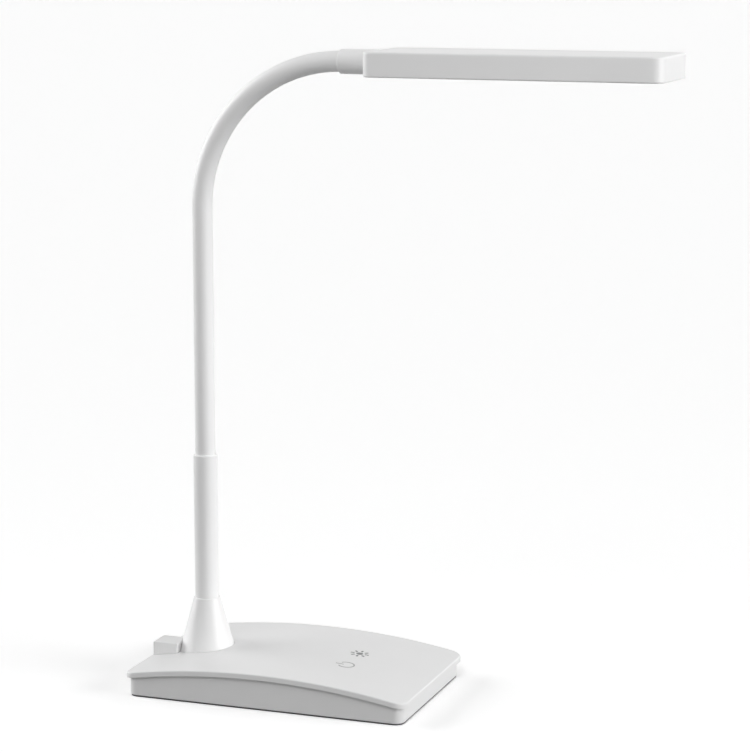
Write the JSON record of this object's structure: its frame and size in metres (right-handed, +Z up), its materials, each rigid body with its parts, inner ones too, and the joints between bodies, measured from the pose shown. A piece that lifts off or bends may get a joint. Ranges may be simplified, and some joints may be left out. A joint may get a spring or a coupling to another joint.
{
  "type": "desk lamp",
  "caption": "Touch-controlled desk lamp: a flat light head on a bendable white arm over a low arched, weighted base.",
  "frame": {"origin": "centre of the underside of the base, on the surface that the lamp stands on", "axes": "+X from the arm's foot towards the light head, along the base; +Z up; +Y across the base, to the left of +X"},
  "size_m": [0.309, 0.11, 0.3751],
  "materials": {
    "shell_white": "satin",
    "sleeve_white": "satin",
    "arm_skin": "smooth, satin",
    "tray_white": "matte",
    "mat_grey": "matte",
    "ballast_steel": "mill",
    "screw_steel": "bright",
    "stud_steel": "turned",
    "core_steel": "satin",
    "board_green": "satin",
    "board_white": "satin",
    "parts_black": "matte",
    "contact_foam": "matte",
    "lead_white": "satin",
    "port_white": "satin",
    "shell_steel": "bright",
    "tongue_white": "satin",
    "socket_black": "satin",
    "pin_metal": "bright",
    "diffuser_opal": "opal",
    "frame_white": "matte",
    "spreader_metal": "satin",
    "light_yellow": "satin"
  },
  "bodies": {
    "base": {"base_cover": "shell_white", "base_tray": "tray_white", "ballast_plate": "ballast_steel", "anti_slip_mat": "mat_grey", "cover_screws": "screw_steel", "ballast_screws": "screw_steel", "post_collar": "shell_white", "post_sleeve": "sleeve_white", "post_stud": "stud_steel", "lock_washer": "stud_steel", "post_nut": "stud_steel", "touch_board": "board_green", "board_screws": "screw_steel", "touch_contacts": "contact_foam", "board_parts": "parts_black", "power_lead": "lead_white", "base_lead": "lead_white", "port_housing": "port_white", "port_shell": "shell_steel", "port_tongue": "tongue_white", "power_socket": "socket_black", "socket_pin": "pin_metal", "arm_core_0": "core_steel", "arm_skin_1": "arm_skin"},
    "arm_link_1": {"arm_core_1": "core_steel", "arm_lead_1": "lead_white", "arm_skin_2": "arm_skin"},
    "arm_link_2": {"arm_core_2": "core_steel", "arm_lead_2": "lead_white", "arm_skin_3": "arm_skin"},
    "arm_link_3": {"arm_core_3": "core_steel", "arm_lead_3": "lead_white", "arm_skin_4": "arm_skin"},
    "arm_link_4": {"arm_core_4": "core_steel", "arm_lead_4": "lead_white", "arm_skin_5": "arm_skin"},
    "arm_link_5": {"arm_core_5": "core_steel", "arm_lead_5": "lead_white", "arm_skin_6": "arm_skin"},
    "arm_link_6": {"arm_core_6": "core_steel", "arm_lead_6": "lead_white", "arm_skin_7": "arm_skin"},
    "arm_link_7": {"arm_core_7": "core_steel", "arm_lead_7": "lead_white", "arm_skin_8": "arm_skin"},
    "head": {"arm_core_8": "core_steel", "arm_lead_8": "lead_white", "head_ferrule": "sleeve_white", "arm_anchor": "spreader_metal", "anchor_screws": "screw_steel", "head_shell": "shell_white", "head_bezel": "shell_white", "bezel_screws": "screw_steel", "diffuser": "diffuser_opal", "reflector_frame": "frame_white", "light_board": "board_white", "heat_spreader": "spreader_metal", "light_sources": "light_yellow", "light_plug": "parts_black"}
  },
  "joints": [
    {"name": "lower_bend", "type": "hinge", "parent": "base", "child": "arm_link_1", "pos_m": [-0.0565, 0, 0.15425], "axis": [0, 1, 0], "range_deg": [-20, 18], "deforming": ["arm_skin_1"]},
    {"name": "lower_side", "type": "hinge", "parent": "arm_link_1", "child": "arm_link_2", "pos_m": [-0.0565, 0, 0.19075], "axis": [1, 0, 0], "range_deg": [-20, 20], "deforming": ["arm_skin_2"]},
    {"name": "lower_bend_upper", "type": "hinge", "parent": "arm_link_2", "child": "arm_link_3", "pos_m": [-0.0565, 0, 0.22725], "axis": [0, 1, 0], "range_deg": [-20, 18], "deforming": ["arm_skin_3"]},
    {"name": "lower_side_upper", "type": "hinge", "parent": "arm_link_3", "child": "arm_link_4", "pos_m": [-0.0565, 0, 0.26375], "axis": [1, 0, 0], "range_deg": [-20, 20], "deforming": ["arm_skin_4"]},
    {"name": "upper_bend", "type": "hinge", "parent": "arm_link_4", "child": "arm_link_5", "pos_m": [-0.05485, 0, 0.29878], "axis": [0, 1, 0], "range_deg": [-22, 14], "deforming": ["arm_skin_5"]},
    {"name": "upper_side", "type": "hinge", "parent": "arm_link_5", "child": "arm_link_6", "pos_m": [-0.04201, 0, 0.32978], "axis": [0.8315, 0, -0.5556], "range_deg": [-22, 22], "deforming": ["arm_skin_6"]},
    {"name": "upper_bend_upper", "type": "hinge", "parent": "arm_link_6", "child": "arm_link_7", "pos_m": [-0.01828, 0, 0.35351], "axis": [0, 1, 0], "range_deg": [-22, 14], "deforming": ["arm_skin_7"]},
    {"name": "upper_side_upper", "type": "hinge", "parent": "arm_link_7", "child": "head", "pos_m": [0.01272, 0, 0.36635], "axis": [0.1951, 0, -0.9808], "range_deg": [-22, 22], "deforming": ["arm_skin_8"]}
  ],
  "couplings": [
    {"joint": "lower_bend_upper", "follows": "lower_bend", "ratio": 1},
    {"joint": "lower_side_upper", "follows": "lower_side", "ratio": 1},
    {"joint": "upper_bend_upper", "follows": "upper_bend", "ratio": 1},
    {"joint": "upper_side_upper", "follows": "upper_side", "ratio": 1}
  ]
}
